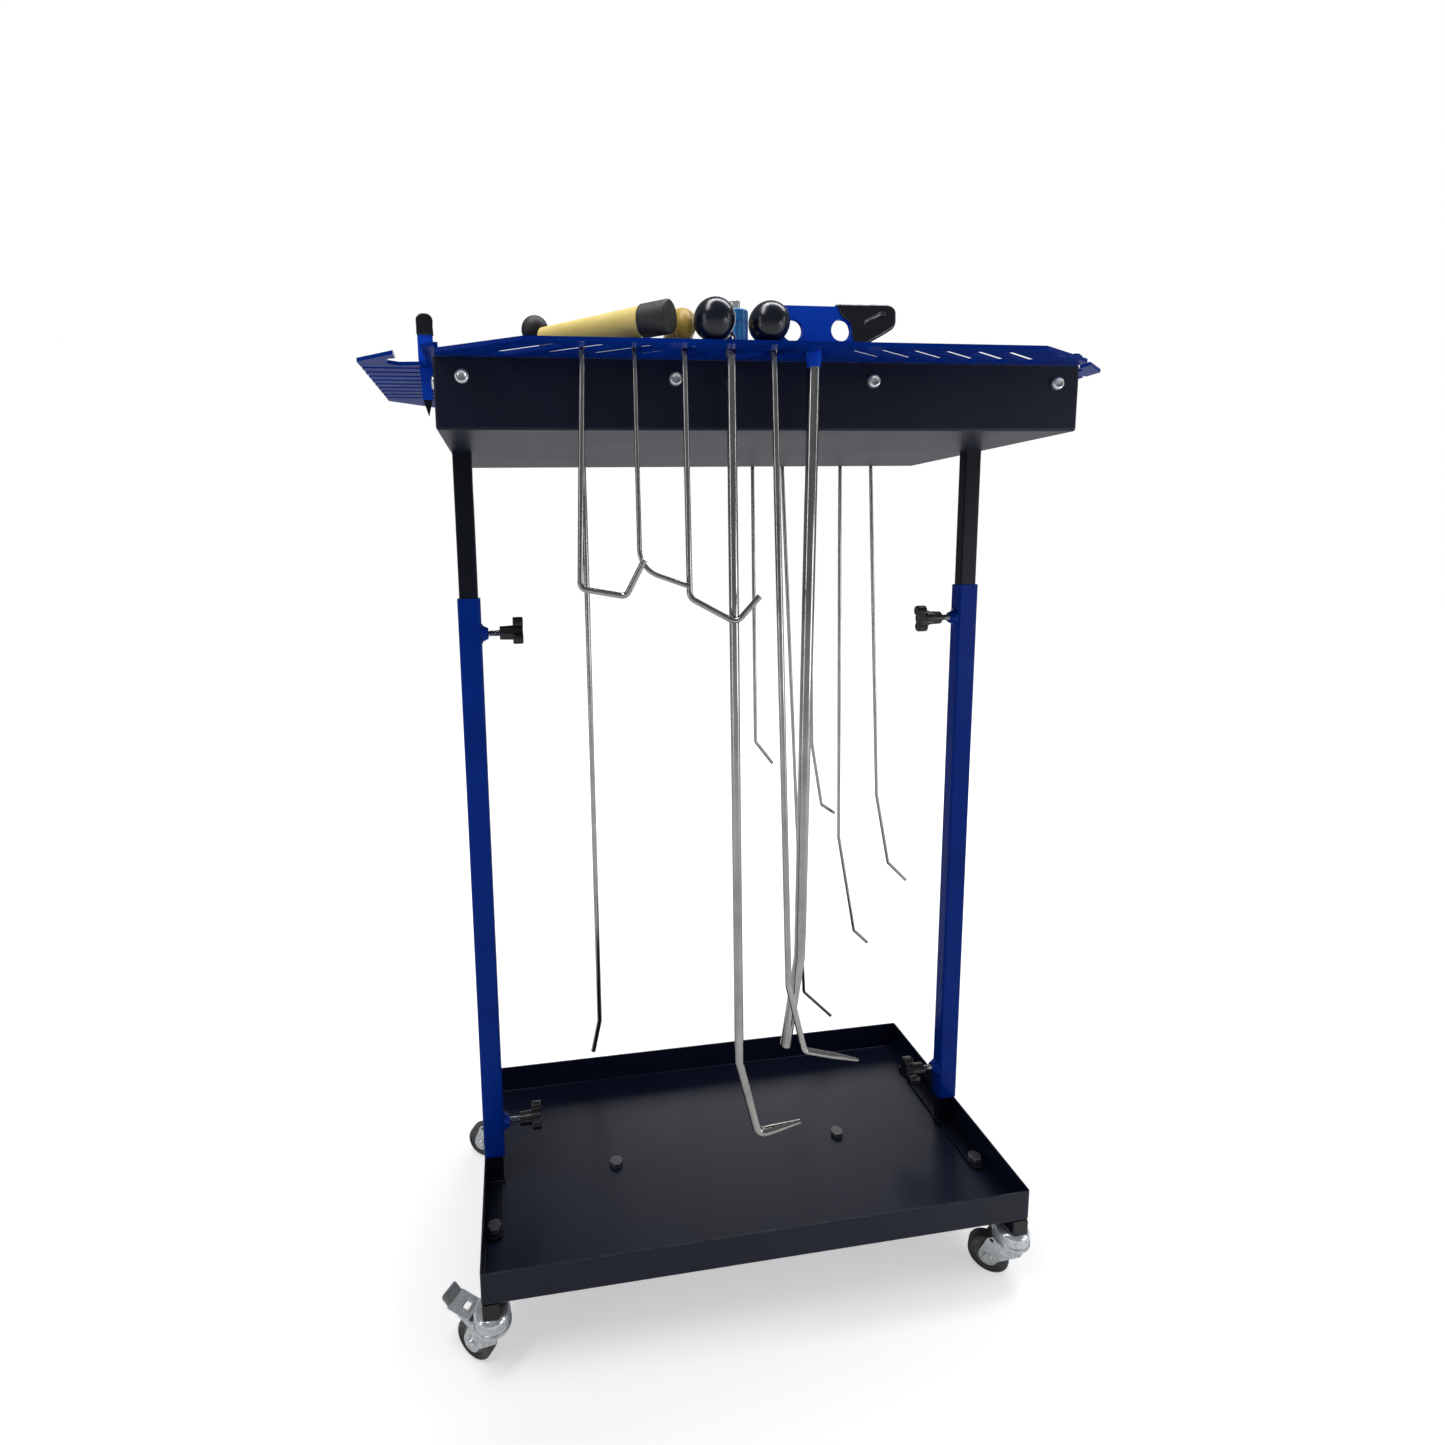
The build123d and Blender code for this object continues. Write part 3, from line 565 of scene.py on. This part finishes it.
def area_light(name, place, target, size, power, colour):
    data = bpy.data.lights.new(name, "AREA")
    data.shape = "RECTANGLE"
    data.size, data.size_y = size
    data.energy = power
    data.color = colour
    item = bpy.data.objects.new(name, data)
    item.location = place
    item.rotation_euler = (Vector(target) - Vector(place)).to_track_quat("-Z", "Y").to_euler()
    bpy.context.scene.collection.objects.link(item)


def lights():
    area_light("ceiling_left", (-0.9, -0.5, 2.9), (-0.5, -0.1, 0), (0.5, 2.2), 34, (1.0, 0.99, 0.97))
    area_light("ceiling_right", (0.9, 0.1, 2.9), (0.5, 0.1, 0), (0.5, 2.2), 34, (0.97, 0.985, 1.0))
    area_light("right_panel", (2.4, -2.2, 0.6), (0.3, 0, 0.5), (0.9, 0.9), 10, (0.97, 0.98, 1.0))
    area_light("left_strip", (-2.6, -1.1, 1.05), (-0.1, -0.2, 0.75), (0.22, 2.1), 7, (1.0, 1.0, 1.0))
    area_light("right_strip", (2.6, -1.2, 1.05), (0.1, -0.2, 0.75), (0.22, 2.1), 7, (0.98, 0.99, 1.0))
    area_light("back_fill", (0.8, 2.6, 1.8), (0, 0, 0.7), (2.0, 1.2), 18, (1.0, 1.0, 1.0))
    world = bpy.data.worlds.new("studio")
    world.use_nodes = True
    tree = world.node_tree
    background = tree.nodes["Background"]
    background.inputs["Color"].default_value = (0.92, 0.95, 1.0, 1.0)
    background.inputs["Strength"].default_value = WORLD_LIGHT
    backdrop = tree.nodes.new("ShaderNodeBackground")
    backdrop.inputs["Color"].default_value = (1.0, 1.0, 1.0, 1.0)
    rays = tree.nodes.new("ShaderNodeLightPath")
    shown = tree.nodes.new("ShaderNodeMixShader")
    tree.links.new(rays.outputs["Is Camera Ray"], shown.inputs[0])
    tree.links.new(background.outputs[0], shown.inputs[1])
    tree.links.new(backdrop.outputs[0], shown.inputs[2])
    tree.links.new(shown.outputs[0], tree.nodes["World Output"].inputs["Surface"])
    bpy.context.scene.world = world
    bpy.context.scene.view_settings.view_transform = "Standard"


def studio_floor():
    """A round pale floor that glows softly and fades to plain white far from the stand."""
    half = 9.0
    mesh = bpy.data.meshes.new("floor")
    corners = [(-half, -half, 0), (half, -half, 0), (half, half, 0), (-half, half, 0)]
    mesh.from_pydata(corners, [], [(0, 1, 2, 3)])
    item = bpy.data.objects.new("floor", mesh)
    bpy.context.scene.collection.objects.link(item)
    s = Shader("floor_paint")
    tone = s.mix(s.noise(0.8, 3.0), (0.80, 0.80, 0.80), (0.86, 0.86, 0.86))
    radius = s.add("ShaderNodeVectorMath", operation="LENGTH")
    s.link(s.coord, radius.inputs[0])
    shown = s.span(radius.outputs["Value"], 0.4, 2.2, 0.50, 0.95)
    lit = s.span(radius.outputs["Value"], 0.5, 2.5, 0.02, FAR_FLOOR_GLOW)
    seen = s.add("ShaderNodeLightPath").outputs["Is Camera Ray"]
    unseen = s.math("SUBTRACT", 1.0, seen)
    glow = s.math("ADD", s.math("MULTIPLY", seen, shown), s.math("MULTIPLY", unseen, lit))
    s.set(Base_Color=tone, Roughness=0.9, Emission_Strength=glow)
    s.set(Emission_Color=(0.99, 0.99, 1.0, 1.0), Specular_IOR_Level=0.1)
    mesh.materials.append(s.material)


build_materials()
dress_cad_nodes()
dipped_coat("rod_09_dip", 0.0010, 12)
dipped_coat("hook_dip", 0.0009, 8)
weld_beads()
grip_nose()
camera()
lights()
studio_floor()
